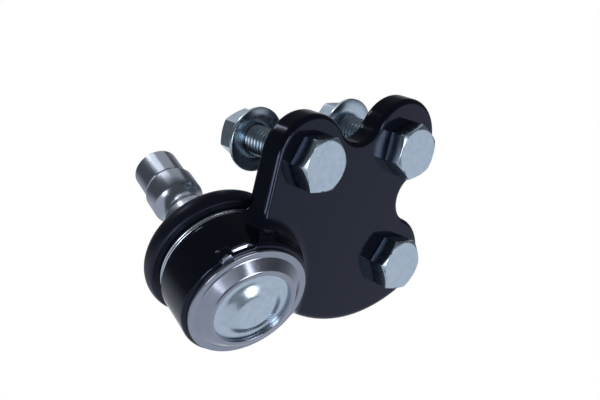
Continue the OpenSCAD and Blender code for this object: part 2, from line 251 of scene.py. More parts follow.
# Signed distance to a closed outline on a flat grid, negative inside
def flatDistance(outline, low, high, step):
    us = np.arange(low[0], high[0], step)
    vs = np.arange(low[1], high[1], step)
    u, v = np.meshgrid(us, vs, indexing="ij")
    best = np.full(u.shape, 1e9)
    odd = np.zeros(u.shape, bool)
    for a, b in zip(outline, np.roll(outline, -1, 0)):
        d = b - a
        size = d @ d
        if size < 1e-12:
            continue
        t = np.clip(((u - a[0]) * d[0] + (v - a[1]) * d[1]) / size, 0, 1)
        best = np.minimum(best, (u - a[0] - t * d[0]) ** 2 + (v - a[1] - t * d[1]) ** 2)
        if a[1] != b[1]:
            crosses = (a[1] > v) != (b[1] > v)
            odd ^= crosses & (u < a[0] + (v - a[1]) * d[0] / d[1])
    return np.where(odd, -1, 1) * np.sqrt(best)


flatLow, flatHigh, flatStep = (-30.0, -30.0), (95.0, 90.0), 0.25
flatField = flatDistance(plateOutline(bracketLook), flatLow, flatHigh, flatStep)


# The flat distance at any place, read between the points of the grid
def flatAt(u, v):
    last = np.array(flatField.shape) - 1.001  # just inside the last cell
    i = np.clip((u - flatLow[0]) / flatStep, 0, last[0])
    j = np.clip((v - flatLow[1]) / flatStep, 0, last[1])
    i0, j0 = i.astype(int), j.astype(int)
    a, b = i - i0, j - j0
    return (flatField[i0, j0] * (1 - a) * (1 - b) + flatField[i0 + 1, j0] * a * (1 - b)
            + flatField[i0, j0 + 1] * (1 - a) * b + flatField[i0 + 1, j0 + 1] * a * b)


# The nearer of two forms, with a fillet of about this width where they meet
def softMin(a, b, width):
    h = np.maximum(width - np.abs(a - b), 0) / width
    return np.minimum(a, b) - h * h * width / 4


def softMax(a, b, width):
    return -softMin(-a, -b, width)


# Distance to a box of two lengths with its corners rounded
def roundBox(x, y, radius):
    x, y = x + radius, y + radius
    return np.minimum(np.maximum(x, y), 0) + np.hypot(np.maximum(x, 0), np.maximum(y, 0)) - radius


def bracketField(x, y, z):
    look = bracketLook
    wall = look["barrelRadius"]
    degree = math.radians(1)
    up = z - plateZ
    u = x * math.cos(plateTilt) + up * math.sin(plateTilt)
    n = -x * math.sin(plateTilt) + up * math.cos(plateTilt)
    r = np.hypot(x, y)
    around = np.degrees(np.arctan2(y, x))

    # the plate and the barrel
    plate = roundBox(flatAt(u, y), np.abs(n - plateThick / 2) - plateThick / 2, look["edgeRound"])
    middle = (look["barrelLow"] + look["barrelHigh"]) / 2
    half = (look["barrelHigh"] - look["barrelLow"]) / 2
    barrel = roundBox(r - wall, np.abs(z - middle) - half, look["barrelRound"])
    d = softMin(plate, barrel, look["fillet"])

    # a lug and a bead on the barrel, and a cut in its rim
    lug = look["lug"]
    side = np.abs(np.radians(around - lug["turn"]) * r) - lug["wide"] / 2
    ends = np.abs(z - (lug["low"] + lug["high"]) / 2) - (lug["high"] - lug["low"]) / 2
    layer = np.maximum(r - wall - lug["proud"], wall - lug["deep"] - r)
    d = softMin(d, np.maximum(roundBox(side, ends, lug["round"]), layer), lug["soft"])
    bead = look["bead"]
    off = np.maximum(np.maximum(bead["from"] - around, around - bead["to"]), 0) * degree * r
    out = r - wall - bead["proud"] + bead["radius"]
    d = softMin(d, np.sqrt(out ** 2 + (z - bead["at"]) ** 2 + off ** 2) - bead["radius"], bead["soft"])
    cut = look["rimCut"]
    span = np.maximum(cut["from"] - around, around - cut["to"]) * degree * r
    notch = np.maximum(np.maximum(span, z - cut["above"]), wall - cut["deep"] - r)
    d = softMax(d, -notch, cut["soft"])

    # room for the boot, the bore and the bolt holes
    space = np.maximum(r - look["bootSpace"], look["barrelHigh"] - z)
    d = softMax(d, -space, look["bootSoft"])
    d = softMax(d, look["boreRadius"] - r, look["boreSoft"])
    for bu, bv in boltAt:
        d = softMax(d, look["holeRadius"] - np.hypot(u - bu, y - bv), look["holeSoft"])
    return d


# A mesh of the zero level of a field, one vertex per crossed cell, then moved onto the level
def surfaceNet(name, field, low, high, step):
    axes = [np.arange(low[a], high[a] + step, step) for a in range(3)]
    grid = np.meshgrid(*axes, indexing="ij")
    f = field(*grid)
    shape = np.array(f.shape)
    cells = tuple(shape - 1)
    inside = f < 0
    total = np.zeros((int(np.prod(cells)), 3))
    count = np.zeros(len(total))
    quads = []
    for a in range(3):
        b, c = (a + 1) % 3, (a + 2) % 3
        first, second = [slice(None)] * 3, [slice(None)] * 3
        first[a], second[a] = slice(0, -1), slice(1, None)
        i = np.argwhere(inside[tuple(first)] != inside[tuple(second)])
        i = i[(i[:, b] > 0) & (i[:, c] > 0) & (i[:, b] < shape[b] - 1) & (i[:, c] < shape[c] - 1)]
        j = i.copy()
        j[:, a] += 1
        f0, f1 = f[tuple(i.T)], f[tuple(j.T)]
        p = i.astype(float)
        p[:, a] += f0 / (f0 - f1)
        ring = []
        for db, dc in ((-1, -1), (0, -1), (0, 0), (-1, 0)):
            k = i.copy()
            k[:, b] += db
            k[:, c] += dc
            flat = np.ravel_multi_index(tuple(k.T), cells)
            ring.append(flat)
            count += np.bincount(flat, minlength=len(total))
            for d in range(3):
                total[:, d] += np.bincount(flat, weights=p[:, d], minlength=len(total))
        quad = np.stack(ring, 1)
        quad[f0 > 0] = quad[f0 > 0][:, ::-1]
        quads.append(quad)
    used = np.nonzero(count)[0]
    place = np.full(len(total), -1)
    place[used] = np.arange(len(used))
    verts = total[used] / count[used, None] * step + np.array(low)
    small, passes, leastSlope = 0.02, 5, 0.25
    for _ in range(passes):
        d = field(*verts.T)
        sides = [(field(*(verts + small * e).T), field(*(verts - small * e).T)) for e in np.eye(3)]
        slope = np.stack([(ahead - back) / (2 * small) for ahead, back in sides], 1)
        size = np.maximum((slope ** 2).sum(1), leastSlope)
        verts = verts - np.clip(d, -step, step)[:, None] * slope / size[:, None]
    return meshObject(name, (verts * mm).tolist(), place[np.concatenate(quads)].tolist())


low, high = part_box("bracket")
low, high = np.array(low) / mm - bracketLook["margin"], np.array(high) / mm + bracketLook["margin"]
bracketPiece = surfaceNet("forged_bracket", bracketField, low, high, bracketLook["step"])
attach(bracketPiece, "bracket_body")
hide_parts("bracket")
print("stage: bracket", len(bracketPiece.data.polygons), "faces")

# Socket: the flange lies on the barrel, and the wall is rolled in over the cap as a cone with soft edges
socketLook = {"radius": 18.0, "flange": 20.4, "flangeDrop": 12.0, "flangeThick": 1.5,
              "rollFoot": 18.4, "rollHeight": 3.3, "lip": 13.3, "lipWidth": 1.5, "lipThick": 1.2,
              "mouth": 11.5, "mouthHeight": 11.5, "mouthCut": 0.8, "bootSeat": 17.4, "bootRim": 1.05,
              "ballGap": 0.05, "liner": 2.0, "linerGap": 0.02}
look = socketLook
flangeZ = ballZ - look["flangeDrop"]
crestZ = flangeZ - look["rollHeight"]
capLow = crestZ + look["lipThick"]
mouthZ = ballZ + look["mouthHeight"]
rimZ = mouthZ - look["bootRim"]
barrelEnd = bracketLook["barrelHigh"]
seatRadius = ballRadius + look["ballGap"] + look["liner"] + look["linerGap"]
mouthAngle = math.acos(look["mouth"] / seatRadius)
socketProfile = rounded([
    (look["radius"], flangeZ + look["flangeThick"]),
    (look["flange"], flangeZ + look["flangeThick"], 0.2),
    (look["flange"], flangeZ, 0.4),
    (look["rollFoot"], flangeZ, 1.2),
    (look["lip"] + look["lipWidth"], crestZ, 1.6),
    (look["lip"], crestZ, 0.35),
    (look["lip"], capLow, 0.1),
    (seatRadius, capLow)], 8)
socketProfile += [(seatRadius * math.cos(a), ballZ + seatRadius * math.sin(a))
                  for a in np.linspace(0, mouthAngle, 16)]
socketProfile += rounded([
    (look["mouth"], mouthZ - look["mouthCut"] - 0.1),
    (look["mouth"], mouthZ - look["mouthCut"]),
    (look["mouth"] + look["mouthCut"], mouthZ, 0.1),
    (look["radius"], mouthZ, 0.3),
    (look["radius"], rimZ, 0.1),
    (look["bootSeat"], rimZ),
    (look["bootSeat"], barrelEnd),
    (look["radius"], barrelEnd)], 4)
socketPiece = lathe("rolled_socket", socketProfile, 256)
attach(socketPiece, "bracket_body")
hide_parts("socket_housing")

# Cap: pressed sheet with a smooth dome
capLook = {"rim": 15.55, "foot": 11.2, "flat": 5.25, "middle": 2.5, "height": 2.4, "thick": 1.6}
look = capLook
capHigh = capLow + look["thick"]
share = np.linspace(0, 1, 33)
domeR = look["foot"] + (look["flat"] - look["foot"]) * share
domeH = look["height"] * (1 - np.cos(math.pi * share)) / 2
capProfile = rounded([(look["rim"], capHigh), (look["rim"], capLow, 0.2), (look["foot"] + 0.2, capLow)], 3)
capProfile += list(zip(domeR, capLow - domeH))
topLow, topHigh = capLow - look["height"], capHigh - look["height"]
capProfile += [(look["middle"], topLow), (0, topLow), (0, topHigh)]
capProfile += list(zip(domeR[::-1] - look["thick"] / 2, capHigh - domeH[::-1]))
capPiece = lathe("pressed_cap", capProfile, 224)
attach(capPiece, "bracket_body")
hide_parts("end_cap")

# Stud: ball, neck, boot seat, clamp shank with its groove, and pilot with an undercut; radii and heights
studLook = {"flat": 4.5, "neck": 6.5, "neckLead": 0.06, "neckLow": ballZ + 12.3, "neckHigh": -20.0,
            "seat": 8.5, "seatLow": -18.0, "seatHigh": -12.4,
            "shank": 9.0, "shankLow": -11.7, "shankHigh": 11.7,
            "groove": {"away": 12.0, "radius": 5.0, "reach": 0.88, "edge": 4.15, "land": 0.25},
            "pilot": 8.0, "pilotLow": 12.7, "pilotHigh": 23.8, "tip": 7.0, "end": 24.8,
            "undercut": {"radius": 7.8, "low": 12.95, "high": 13.25, "end": 13.5}}
look = studLook
groove, undercut = look["groove"], look["undercut"]
flatAngle = math.asin(look["flat"] / ballRadius)
neckAngle = math.asin(look["neck"] / ballRadius)
ballArc = [(ballRadius * math.sin(a), ballZ - ballRadius * math.cos(a))
           for a in np.linspace(flatAngle, math.pi - neckAngle - look["neckLead"], 48)]
grooveArc = [(groove["away"] - groove["radius"] * math.cos(a), groove["radius"] * math.sin(a))
             for a in np.linspace(-groove["reach"], groove["reach"], 21)]
studProfile = [(0, ballArc[0][1]), (look["flat"] - 0.1, ballArc[0][1])] + ballArc
studProfile += rounded([
    ballArc[-1],
    (look["neck"], look["neckLow"], 0.8),
    (look["neck"], look["neckHigh"], 1.5),
    (look["seat"], look["seatLow"], 0.4),
    (look["seat"], look["seatHigh"]),
    (look["seat"] + 0.1, look["seatHigh"] + 0.4),
    (look["shank"], look["shankLow"], 0.2),
    (look["shank"], -groove["edge"] - groove["land"]),
    (look["shank"], -groove["edge"])], 5)[1:-1]
studProfile += grooveArc
studProfile += rounded([
    (look["shank"], groove["edge"]),
    (look["shank"], groove["edge"] + groove["land"]),
    (look["shank"], look["shankHigh"], 0.35),
    (look["pilot"], look["pilotLow"], 0.1),
    (undercut["radius"], undercut["low"], 0.1),
    (undercut["radius"], undercut["high"], 0.1),
    (look["pilot"], undercut["end"], 0.1),
    (look["pilot"], undercut["end"] + 0.5),
    (look["pilot"], look["pilotHigh"], 0.35),
    (look["tip"], look["end"], 0.35),
    (0, look["end"])], 5)[1:]
studPiece = lathe("turned_stud", studProfile, 224, closed=False)
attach(studPiece, "stud")
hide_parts("ball_stud")

# Boot: a lip held by wire, a bulge between two arcs, and a neck lip; radii, heights and spans in degrees
bootLook = {"ring": 17.7, "height": -23.7, "outer": 6.2, "outerSpan": (-26, 94), "outerSteps": 40,
            "inner": 4.4, "innerSpan": (92, -25), "innerSteps": 30,
            "seat": 17.65, "lip": 19.65, "lipLow": -29.95, "lipHigh": -26.8, "flare": 22.9,
            "wireDent": 19.5, "wireAt": -28.4, "wireHalf": 0.5,
            "shoulder": [(16.0, -17.52), (13.4, -17.62, 2.0), (11.0, -17.2, 0.8)],
            "neck": 8.63, "neckOuter": 10.62, "neckLow": -19.3, "neckHigh": -15.3, "roof": 16.6,
            "fold": [(21.2, -25.85), (18.3, -25.9), (18.25, -26.8), (17.65, -26.85)]}
look = bootLook


# One wall of the bulge
def bulgeArc(wall):
    radius = bootLook[wall]
    first, last = np.radians(bootLook[wall + "Span"])
    angles = np.linspace(first, last, bootLook[wall + "Steps"])
    return [(bootLook["ring"] + radius * math.cos(a), bootLook["height"] + radius * math.sin(a))
            for a in angles]


bulgeOuter = bulgeArc("outer")
bootProfile = rounded([
    (look["seat"], look["lipLow"]),
    (look["lip"], look["lipLow"], 0.3),
    (look["lip"], look["wireAt"] - look["wireHalf"]),
    (look["wireDent"], look["wireAt"], 0.4),
    (look["lip"], look["wireAt"] + look["wireHalf"]),
    (look["lip"], look["lipHigh"], 0.25),
    (look["flare"], look["lipHigh"], 0.35),
    bulgeOuter[0]], 5)[:-1]
bootProfile += bulgeOuter
bootProfile += rounded(look["shoulder"] + [
    (look["neckOuter"], look["neckHigh"], 0.5),
    (look["neck"], look["neckHigh"], 0.4),
    (look["neck"], look["neckLow"], 0.5),
    (look["roof"], look["neckLow"])], 5)
bootProfile += bulgeArc("inner") + look["fold"]
bootPiece = lathe("dust_boot_rubber", bootProfile, 192)
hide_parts("dust_boot")
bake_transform(bootPiece)


# A round wire along a list of points
def wire(name, path, radius, closed=False):
    sides = 14
    pts = np.array(path, float)
    n = len(pts)
    ahead = np.roll(pts, -1, 0) - np.roll(pts, 1, 0)
    if not closed:
        ahead[0], ahead[-1] = pts[1] - pts[0], pts[-1] - pts[-2]
    ahead /= np.linalg.norm(ahead, axis=1)[:, None]
    out = pts * np.array([1, 1, 0])
    out /= np.linalg.norm(out, axis=1)[:, None]
    other = np.cross(ahead, out)
    verts = []
    for k in range(sides):
        a = 2 * math.pi * k / sides
        verts.append(pts + radius * (math.cos(a) * out + math.sin(a) * other))
    verts = np.stack(verts, 1).reshape(-1, 3) * mm
    faces = []
    for i in range(n if closed else n - 1):
        j = (i + 1) % n
        for k in range(sides):
            k2 = (k + 1) % sides
            faces.append((i * sides + k, j * sides + k, j * sides + k2, i * sides + k2))
    if not closed:
        faces += [tuple(range(sides)), tuple(range((n - 1) * sides, n * sides))]
    return meshObject(name, verts.tolist(), faces)


# Clamp ring: two turns, and the wire steps over from the first to the second; the angles are in degrees
clampLook = {"wire": 1.0, "radius": 20.15, "low": -28.85, "high": -27.9, "start": 200.0,
             "stepAt": 330, "stepLong": 60}
look = clampLook
path = []
for a in np.linspace(0, 720, 721):
    t = min(1, max(0, (a - look["stepAt"]) / look["stepLong"]))
    z = look["low"] + (look["high"] - look["low"]) * t * t * (3 - 2 * t)
    b = math.radians(a + look["start"])
    path.append((look["radius"] * math.cos(b), look["radius"] * math.sin(b), z))
clampPiece = wire("clamp_wire", path, look["wire"] / 2)
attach(clampPiece, "boot_body")
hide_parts("boot_clamp_ring")

# Neck ring: one closed turn
neckLook = {"wire": 1.4, "radius": 11.45, "height": -16.7}
look = neckLook
path = [(look["radius"] * math.cos(a), look["radius"] * math.sin(a), look["height"])
        for a in np.linspace(0, 2 * math.pi, 160, endpoint=False)]
neckPiece = wire("neck_wire", path, look["wire"] / 2, closed=True)
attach(neckPiece, "boot_neck")
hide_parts("boot_neck_ring")
print("stage: socket, cap, stud, boot and wires")


# Outline of a hexagon with rounded corners, in millimetres
def hexOutline(acrossFlats, corner, turn):
    perCorner, perFlat = 7, 10
    inner = (acrossFlats / 2 - corner) / math.cos(math.pi / 6)

    def onCorner(middle, a):
        return (inner * math.cos(middle) + corner * math.cos(a),
                inner * math.sin(middle) + corner * math.sin(a))

    pts = []
    for k in range(6):
        middle, nextMiddle = math.radians(60 * k + turn), math.radians(60 * (k + 1) + turn)
        pts += [onCorner(middle, middle + math.radians(t)) for t in np.linspace(-30, 30, perCorner)]
        start = np.array(pts[-1])
        end = np.array(onCorner(nextMiddle, middle + math.radians(30)))
        pts += [tuple(start + (end - start) * t) for t in np.linspace(0, 1, perFlat + 2)[1:-1]]
    return np.array(pts)


# Verts and faces of stacked rings with equal counts; a stack that is no loop is closed by a fan at each end
def skin(rings, loop=False):
    n, total = len(rings[0]), len(rings)
    verts = np.concatenate(rings)
    faces = []
    for i in range(total if loop else total - 1):
        j = (i + 1) % total
        for k in range(n):
            k2 = (k + 1) % n
            faces.append((i * n + k, i * n + k2, j * n + k2, j * n + k))
    if not loop:
        for end, i in enumerate((0, total - 1)):
            middle = total * n + end
            faces += [(i * n + k, i * n + (k + 1) % n, middle) for k in range(n)]
        verts = np.concatenate([verts, np.array([rings[0].mean(0), rings[-1].mean(0)])])
    return verts, faces


# A ring in the directions of the outline; the radius and the height are one number or one for each point
def ringAt(outline, radius, height):
    size = np.linalg.norm(outline, axis=1)
    r = np.broadcast_to(radius, size.shape)
    h = np.broadcast_to(height, size.shape)
    return np.concatenate([outline / size[:, None] * r[:, None], h[:, None]], 1)


slope = math.tan(math.radians(30))  # of the cones on heads and nuts


# Hex sides, a chamfer cut by a cone, and a flat top
def hexRings(outline, top, flat):
    softness = 0.22
    size = np.linalg.norm(outline, axis=1)
    edge = top - np.maximum(size - flat, 0) * slope
    rings = [ringAt(outline, size, edge - softness),
             ringAt(outline, size - softness * 0.12, edge - softness * 0.4)]
    for inset in (softness * 0.5, softness * 1.2):
        r = np.maximum(size - inset, flat)
        rings.append(ringAt(outline, r, top - (r - flat) * slope))
    for past, drop in ((0.12, 0.12 * slope), (-0.16, 0), (-0.7, 0)):
        rings.append(ringAt(outline, flat + past, top - drop))
    return rings


# Bolt with a cut thread; the shank runs up from the head's seat and the head lies below it
boltLook = {"thread": 5.0, "pitch": 1.5, "depth": 0.9, "crest": 0.16, "flank": 0.62, "length": 40.0,
            "tip": 4.0, "threadStart": 9.5, "row": 0.125, "segments": 72,
            "shankLow": -0.5, "shankMiddle": 4.0,
            "acrossFlats": 17.0, "corner": 0.35, "headHeight": 6.4, "headFlat": 8.2,
            "seatInner": 5.2, "topInner": 3.0, "edgeIn": 0.18, "edgeUp": 0.16}


def boltMesh(turn):
    look = boltLook
    outline = hexOutline(look["acrossFlats"], look["corner"], turn)
    size = np.linalg.norm(outline, axis=1)
    rings = [ringAt(outline, look["seatInner"], 0.0), ringAt(outline, size - look["edgeIn"], 0.0)]
    rings.append(ringAt(outline, size, look["edgeUp"]))
    rings += hexRings(outline, look["headHeight"], look["headFlat"])
    rings.append(ringAt(outline, look["topInner"], look["headHeight"]))
    verts, faces = skin(rings)
    verts = verts * np.array([1, 1, -1])
    angles = np.linspace(0, 2 * math.pi, look["segments"], endpoint=False)
    circle = np.stack([np.cos(angles), np.sin(angles)], 1)
    start, end = look["threadStart"], look["length"]
    plain = [look["shankLow"], look["shankMiddle"], start - 0.2]
    heights = np.concatenate([plain, np.arange(start, end - 0.01, look["row"]), [end]])
    rows = []
    for h in heights:
        phase = (h / look["pitch"] - angles / (2 * math.pi)) % 1
        w = np.abs(phase - 0.5) * 2
        runIn = min(1, max(0, (h - start) / look["pitch"]))  # the thread deepens over its first turn
        cut = look["depth"] * np.clip((w - look["crest"]) / look["flank"], 0, 1) * runIn
        r = np.minimum(look["thread"] - cut, look["tip"] + (end - h))
        rows.append(np.concatenate([circle * r[:, None], np.full((len(angles), 1), h)], 1))
    shankVerts, shankFaces = skin(rows)
    offset = len(verts)
    return np.concatenate([verts, shankVerts]), faces + [tuple(i + offset for i in f) for f in shankFaces]


# Flange nut: a cone runs from the flange into the hex
nutLook = {"acrossFlats": 15.0, "corner": 0.35, "height": 10.0, "topFlat": 7.2, "flange": 11.0, "rim": 1.4,
           "coneRise": 3.5, "coneFoot": 10.8, "coneWide": 3.3, "bore": 5.1, "mouth": 6.1, "stand": 27.0}


def nutMesh(turn):
    look = nutLook
    outline = hexOutline(look["acrossFlats"], look["corner"], turn)
    size = np.linalg.norm(outline, axis=1)
    flange, rim = look["flange"], look["rim"]
    coneHigh = rim + look["coneRise"] * slope
    meet = rim + (look["coneFoot"] - size) / look["coneWide"] * (coneHigh - rim)
    rings = [ringAt(outline, r, h) for r, h in (
        (look["bore"], 1.0), (look["mouth"], 0.0), (8.0, 0.0), (flange - 0.3, 0.0),
        (flange - 0.08, 0.1), (flange, 0.35), (flange, 1.0), (flange - 0.07, 1.28), (flange - 0.3, 1.44),
        (size + 0.55, meet - 0.55 * slope), (size + 0.12, meet - 0.02), (size, meet + 0.25))]
    rings += hexRings(outline, look["height"], look["topFlat"])
    rings.append(ringAt(outline, look["mouth"], look["height"]))
    rings.append(ringAt(outline, look["bore"], look["height"] - 1.0))
    return skin(rings, loop=True)


# A bolt or nut, set up on the plate's own axes and then moved to its place
def placed(name, verts, faces, lift, at):
    piece = meshObject(name, (np.array(verts) * mm).tolist(), faces)
    place = plateFrame @ Matrix.Translation((at[0], at[1], lift))
    place.translation *= mm
    piece.data.transform(place)
    return piece


boltPieces, nutPieces = [], []
for i in range(3):
    bolt = placed("zinc_bolt_%d" % (i + 1), *boltMesh(headTurn[i]), 0.0, boltAt[i])
    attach(bolt, "bracket_body")
    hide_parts("bolt_%d" % (i + 1))
    boltPieces.append(bolt)
    nut = placed("zinc_nut_%d" % (i + 1), *nutMesh(nutTurn[i]), nutLook["stand"], boltAt[i])
    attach(nut, "bracket_body")
    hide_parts("nut_%d" % (i + 1))
    nutPieces.append(nut)
print("stage: fasteners")


# Patterns use object coordinates in metres, so a feature of s millimetres has the scale 1000 / s
noiseLow, noiseHigh = 0.3, 0.7  # nearly all of a noise lies between these two

# Black paint sprayed on a forging: the eye sees a blue-black gloss, faint orange peel and two bare spots
paintLook = {"color": "#0a0c16", "tint": "#ccd8ff", "cloud": 4.0, "gloss": (0.09, 0.14),
             "swell": 9.0, "swellHeight": 0.03, "peel": 0.8, "peelHeight": 0.003, "bareColor": "#b3bfcc",
             "ragged": 1.6, "edge": (0.7, 0.9),
             "bare": {"at": (9.7, -18.1, -48.0), "long": 2.0, "high": 2.0},
             "worn": {"at": (14.6, -16.3, -45.9), "long": 2.9, "high": 0.55}}
paintBlack, tree, shader, place = startMaterial("black_paint_on_forging")
shader.inputs["IOR"].default_value = 1.45
shader.inputs["Specular Tint"].default_value = linear(paintLook["tint"])
swell = add(tree, "ShaderNodeTexNoise", values={"Scale": 1000 / paintLook["swell"], "Detail": 2.0},
            links=[("Vector", place, "Object")])
swellBump = add(tree, "ShaderNodeBump", values={"Distance": paintLook["swellHeight"] * mm},
                links=[("Height", swell, "Fac")])
peel = add(tree, "ShaderNodeTexNoise", values={"Scale": 1000 / paintLook["peel"], "Detail": 2.0},
           links=[("Vector", place, "Object")])
peelBump = add(tree, "ShaderNodeBump", values={"Distance": paintLook["peelHeight"] * mm},
               links=[("Height", peel, "Fac"), ("Normal", swellBump, "Normal")])
cloud = add(tree, "ShaderNodeTexNoise", values={"Scale": 1000 / paintLook["cloud"], "Detail": 4.0},
            links=[("Vector", place, "Object")])
smoothest, roughest = paintLook["gloss"]
gloss = add(tree, "ShaderNodeMapRange", links=[("Value", cloud, "Fac")], values={
    "From Min": noiseLow, "From Max": noiseHigh, "To Min": smoothest, "To Max": roughest})
spots = []
for spot in (paintLook["bare"], paintLook["worn"]):
    squeeze = (1, 1, spot["long"] / spot["high"])
    shift = tuple(-v * mm * s for v, s in zip(spot["at"], squeeze))
    squeezed = add(tree, "ShaderNodeVectorMath", {"operation": "MULTIPLY_ADD"}, {1: squeeze, 2: shift},
                   [(0, place, "Object")])
    away = add(tree, "ShaderNodeVectorMath", {"operation": "LENGTH"}, links=[(0, squeezed, 0)])
    torn = add(tree, "ShaderNodeMath", {"operation": "MULTIPLY_ADD"}, {1: paintLook["ragged"] * mm},
               [(0, peel, "Fac"), (2, away, "Value")])
    edgeIn, edgeOut = [(spot["long"] + edge) * mm for edge in paintLook["edge"]]
    spots.append(add(tree, "ShaderNodeMapRange", links=[("Value", torn, 0)], values={
        "From Min": edgeIn, "From Max": edgeOut, "To Min": 1.0, "To Max": 0.0}))
steel = add(tree, "ShaderNodeMath", {"operation": "MAXIMUM"}, links=[(0, spots[0], 0), (1, spots[1], 0)])
tone = add(tree, "ShaderNodeMix", {"data_type": "RGBA"},
           {6: linear(paintLook["color"]), 7: linear(paintLook["bareColor"])}, [(0, steel, 0)])
tree.links.new(tone.outputs[2], shader.inputs["Base Color"])
tree.links.new(steel.outputs[0], shader.inputs["Metallic"])
tree.links.new(peelBump.outputs["Normal"], shader.inputs["Normal"])
tree.links.new(gloss.outputs[0], shader.inputs["Roughness"])

# Steel turned on a lathe and rolled over the cap: the eye sees a blue-grey sheen with faint rings
socketFinish = {"dull": "#9ca1ad", "bright": "#a8adb9", "ring": 0.25, "ringHeight": 0.0002, "cloud": 3.0,
                "gloss": (0.13, 0.20)}
steelTurned, tree, shader, place = startMaterial("turned_rolled_steel")
shader.inputs["Metallic"].default_value = 1.0
flat = add(tree, "ShaderNodeVectorMath", {"operation": "MULTIPLY"}, {1: (1, 1, 0)}, [(0, place, "Object")])
radius = add(tree, "ShaderNodeVectorMath", {"operation": "LENGTH"}, links=[(0, flat, 0)])
rings = add(tree, "ShaderNodeTexNoise", {"noise_dimensions": "1D"},
            {"Scale": 1000 / socketFinish["ring"], "Detail": 2.0}, [("W", radius, "Value")])
bump = add(tree, "ShaderNodeBump", values={"Distance": socketFinish["ringHeight"] * mm},
           links=[("Height", rings, "Fac")])
cloud = add(tree, "ShaderNodeTexNoise", values={"Scale": 1000 / socketFinish["cloud"], "Detail": 4.0},
            links=[("Vector", place, "Object")])
smoothest, roughest = socketFinish["gloss"]
gloss = add(tree, "ShaderNodeMapRange", links=[("Value", cloud, "Fac")], values={
    "From Min": noiseLow, "From Max": noiseHigh, "To Min": smoothest, "To Max": roughest})
tone = add(tree, "ShaderNodeMix", {"data_type": "RGBA"},
           {6: linear(socketFinish["dull"]), 7: linear(socketFinish["bright"])}, [(0, cloud, "Fac")])
tree.links.new(tone.outputs[2], shader.inputs["Base Color"])
tree.links.new(bump.outputs["Normal"], shader.inputs["Normal"])
tree.links.new(gloss.outputs[0], shader.inputs["Roughness"])

# Zinc plating, clear passivated: the eye sees a pale blue-grey soft metal with a faint cloud
zincFinish = {"dull": "#c0d0db", "bright": "#cddce7", "cloud": 2.2, "cloudSpan": (0.35, 0.65),
              "gloss": (0.20, 0.28), "grain": 0.5, "grainHeight": 0.0003}
zincPlate, tree, shader, place = startMaterial("clear_zinc_plating")
shader.inputs["Metallic"].default_value = 1.0
cloud = add(tree, "ShaderNodeTexNoise", links=[("Vector", place, "Object")], values={
    "Scale": 1000 / zincFinish["cloud"], "Detail": 5.0, "Roughness": 0.6})
smoothest, roughest = zincFinish["gloss"]
gloss = add(tree, "ShaderNodeMapRange", links=[("Value", cloud, "Fac")], values={
    "From Min": noiseLow, "From Max": noiseHigh, "To Min": smoothest, "To Max": roughest})
grain = add(tree, "ShaderNodeTexNoise", values={"Scale": 1000 / zincFinish["grain"], "Detail": 3.0},
            links=[("Vector", place, "Object")])
bump = add(tree, "ShaderNodeBump", values={"Distance": zincFinish["grainHeight"] * mm},
           links=[("Height", grain, "Fac")])
cloudLow, cloudHigh = zincFinish["cloudSpan"]
spangle = add(tree, "ShaderNodeMapRange", values={"From Min": cloudLow, "From Max": cloudHigh},
              links=[("Value", cloud, "Fac")])
tone = add(tree, "ShaderNodeMix", {"data_type": "RGBA"},
           {6: linear(zincFinish["dull"]), 7: linear(zincFinish["bright"])}, [(0, spangle, 0)])
tree.links.new(tone.outputs[2], shader.inputs["Base Color"])
tree.links.new(bump.outputs["Normal"], shader.inputs["Normal"])
tree.links.new(gloss.outputs[0], shader.inputs["Roughness"])

# Stud turned and ground: the eye sees bright and dark bands along the bar, with fine rings from the wheel
studFinish = {"dull": "#abb2be", "bright": "#bcc2cd", "ring": 0.3, "ringHeight": 0.0006, "cloud": 3.0,
              "gloss": (0.19, 0.28)}
steelGround, tree, shader, place = startMaterial("ground_stud_steel")
shader.inputs["Metallic"].default_value = 1.0
split = add(tree, "ShaderNodeSeparateXYZ", links=[("Vector", place, "Object")])
rings = add(tree, "ShaderNodeTexNoise", {"noise_dimensions": "1D"},
            {"Scale": 1000 / studFinish["ring"], "Detail": 2.0}, [("W", split, "Z")])
bump = add(tree, "ShaderNodeBump", values={"Distance": studFinish["ringHeight"] * mm},
           links=[("Height", rings, "Fac")])
cloud = add(tree, "ShaderNodeTexNoise", values={"Scale": 1000 / studFinish["cloud"], "Detail": 3.0},
            links=[("Vector", place, "Object")])
smoothest, roughest = studFinish["gloss"]
gloss = add(tree, "ShaderNodeMapRange", links=[("Value", cloud, "Fac")], values={
    "From Min": noiseLow, "From Max": noiseHigh, "To Min": smoothest, "To Max": roughest})
tone = add(tree, "ShaderNodeMix", {"data_type": "RGBA"},
           {6: linear(studFinish["dull"]), 7: linear(studFinish["bright"])}, [(0, rings, "Fac")])
tree.links.new(tone.outputs[2], shader.inputs["Base Color"])
tree.links.new(bump.outputs["Normal"], shader.inputs["Normal"])
tree.links.new(gloss.outputs[0], shader.inputs["Roughness"])

